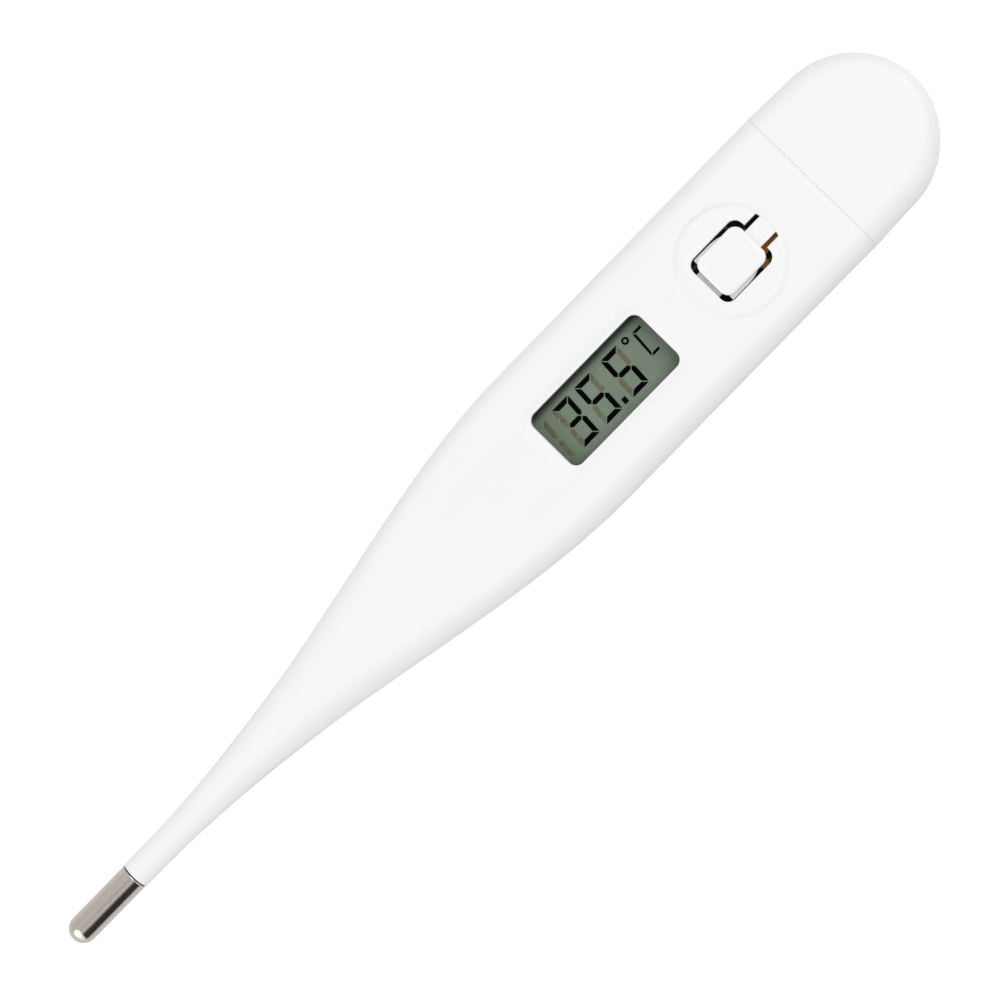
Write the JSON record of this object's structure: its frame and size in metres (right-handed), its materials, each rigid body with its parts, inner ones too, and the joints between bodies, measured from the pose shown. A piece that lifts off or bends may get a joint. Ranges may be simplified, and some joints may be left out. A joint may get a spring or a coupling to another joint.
{
  "type": "digital thermometer",
  "caption": "Pen-type digital thermometer with a slim metal-tipped probe, an LCD window, a sprung push button and a pull-off battery cover.",
  "frame": {"origin": "middle of the object's bounding box, on the surface that its flat back rests on", "axes": "+X along the object from the probe to the battery cover, +Z out of the display face, +Y across it"},
  "size_m": [0.127, 0.0186, 0.01],
  "materials": {
    "white_casing": "fine satin moulded ABS",
    "clear_window": "clear moulded plastic",
    "stainless_steel": "drawn stainless steel, polished along its length",
    "brown_glue": "cured adhesive",
    "potting_epoxy": "cast epoxy",
    "thermistor_coating": "dipped epoxy",
    "sleeve_plastic": "polyimide tube",
    "enamelled_copper": "enamelled wire",
    "dark_carrier": "moulded ABS",
    "circuit_board": "solder mask",
    "resistor": "film on ceramic",
    "capacitor": "fired ceramic",
    "solder": "bright solder",
    "polariser": "polarising film",
    "display_glass": "thin sheet glass",
    "reflector": "grey-green reflective film",
    "elastomer": "moulded silicone",
    "bronze": "rolled spring strip",
    "nickel": "nickel-plated spring strip",
    "brass_disc": "rolled brass",
    "piezo_ceramic": "fired ceramic",
    "wire_plastic": "extruded insulation",
    "cell_steel": "pressed nickel-plated steel"
  },
  "bodies": {
    "body": {"body_shell": "white_casing", "display_window": "clear_window", "probe_tip": "stainless_steel", "tip_glue_ring": "brown_glue", "tip_potting": "potting_epoxy", "thermistor_bead": "thermistor_coating", "insulation_sleeve": "sleeve_plastic", "thermistor_wire_left": "enamelled_copper", "thermistor_wire_right": "enamelled_copper"},
    "button": {"power_button": "white_casing"},
    "cover": {"battery_cover": "white_casing"},
    "carrier": {"inner_carrier": "dark_carrier", "circuit_board": "circuit_board", "chip_cover": "potting_epoxy", "resistor_1": "resistor", "resistor_2": "resistor", "capacitor_1": "capacitor", "capacitor_2": "capacitor", "solder_joint_1": "solder", "solder_joint_2": "solder", "lcd_front_polariser": "polariser", "lcd_front_glass": "display_glass", "lcd_rear_glass": "display_glass", "lcd_rear_reflector": "reflector", "zebra_connector": "elastomer", "switch_leaf": "bronze", "switch_post": "bronze", "positive_contact": "nickel", "negative_contact": "nickel", "buzzer_disc": "brass_disc", "buzzer_ceramic": "piezo_ceramic", "buzzer_lead_ceramic": "wire_plastic", "buzzer_lead_disc": "wire_plastic"},
    "battery": {"cell_can": "cell_steel", "cell_gasket": "elastomer", "cell_cap": "cell_steel"}
  },
  "joints": [
    {"name": "button_press", "type": "hinge", "parent": "body", "child": "button", "pos_m": [0.0423, 0, 0.00965], "axis": [0, -1, 0], "range_deg": [0, 3.5], "stiffness_Nm_per_rad": 0.1},
    {"name": "cover_pull", "type": "slide", "parent": "body", "child": "cover", "axis": [1, 0, 0], "range_m": [0, 0.03]},
    {"name": "carrier_slide", "type": "slide", "parent": "body", "child": "carrier", "axis": [1, 0, 0], "range_m": [0, 0.01]},
    {"name": "battery_slide", "type": "slide", "parent": "carrier", "child": "battery", "axis": [1, 0, 0], "range_m": [0, 0.009]}
  ],
  "couplings": [
    {"joint": "carrier_slide", "follows": "cover_pull", "ratio": 0.3333},
    {"joint": "battery_slide", "follows": "cover_pull", "ratio": 0.3}
  ]
}
